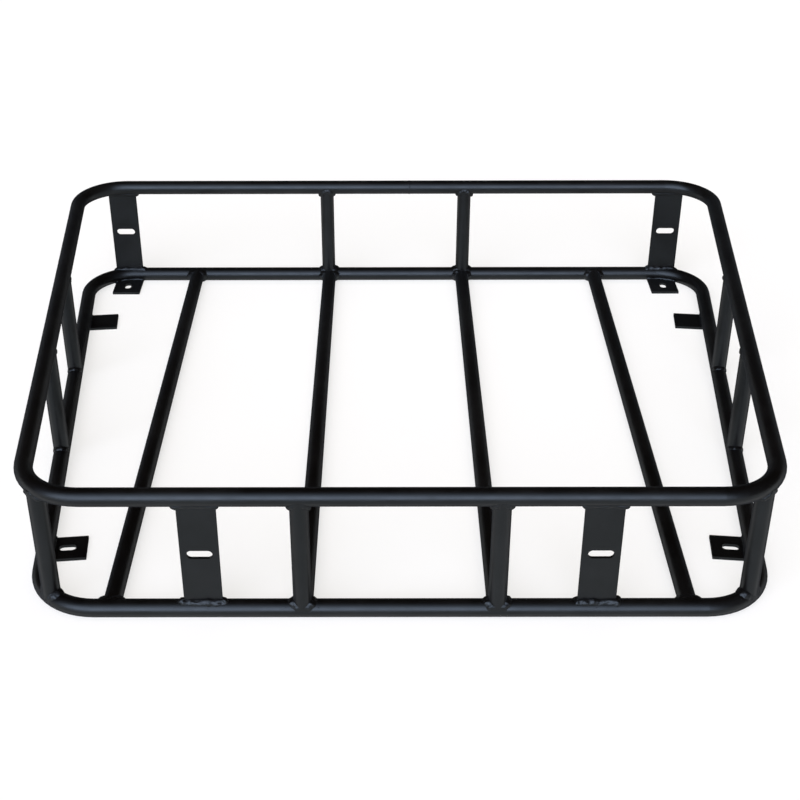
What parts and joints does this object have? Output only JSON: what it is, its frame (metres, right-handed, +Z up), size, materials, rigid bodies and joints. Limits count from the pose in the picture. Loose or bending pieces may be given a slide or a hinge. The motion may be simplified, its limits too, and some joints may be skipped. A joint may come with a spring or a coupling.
{
  "type": "roof cargo rack",
  "caption": "Open roof basket of bent round tube: stacked trapezoid rings joined by posts and slotted plates, with deck tubes across the bottom and slotted tabs for bolting down.",
  "frame": {"origin": "middle of the underside, on the level that the bottom ring and the tabs rest on", "axes": "+X across the rack to the right seen from the front, +Y from the narrower front to the wider rear, +Z up"},
  "size_m": [1.2146, 1.0534, 0.2094],
  "materials": {
    "satin_black_coat": "satin black powder coat over welded steel"
  },
  "bodies": {
    "root": {"bottom_ring": "satin_black_coat", "top_ring": "satin_black_coat", "deck_tube_outer_left": "satin_black_coat", "deck_tube_inner_left": "satin_black_coat", "deck_tube_inner_right": "satin_black_coat", "deck_tube_outer_right": "satin_black_coat", "front_post_left": "satin_black_coat", "front_post_right": "satin_black_coat", "rear_post_left": "satin_black_coat", "rear_post_right": "satin_black_coat", "front_corner_post_left": "satin_black_coat", "front_corner_post_right": "satin_black_coat", "side_post_front_left": "satin_black_coat", "side_post_rear_left": "satin_black_coat", "side_post_front_right": "satin_black_coat", "side_post_rear_right": "satin_black_coat", "front_plate_left": "satin_black_coat", "front_plate_right": "satin_black_coat", "rear_plate_left": "satin_black_coat", "rear_plate_right": "satin_black_coat", "front_side_tab_left": "satin_black_coat", "front_side_tab_right": "satin_black_coat", "rear_side_tab_left": "satin_black_coat", "rear_side_tab_right": "satin_black_coat", "rear_tab_left": "satin_black_coat", "rear_tab_right": "satin_black_coat"}
  },
  "joints": []
}
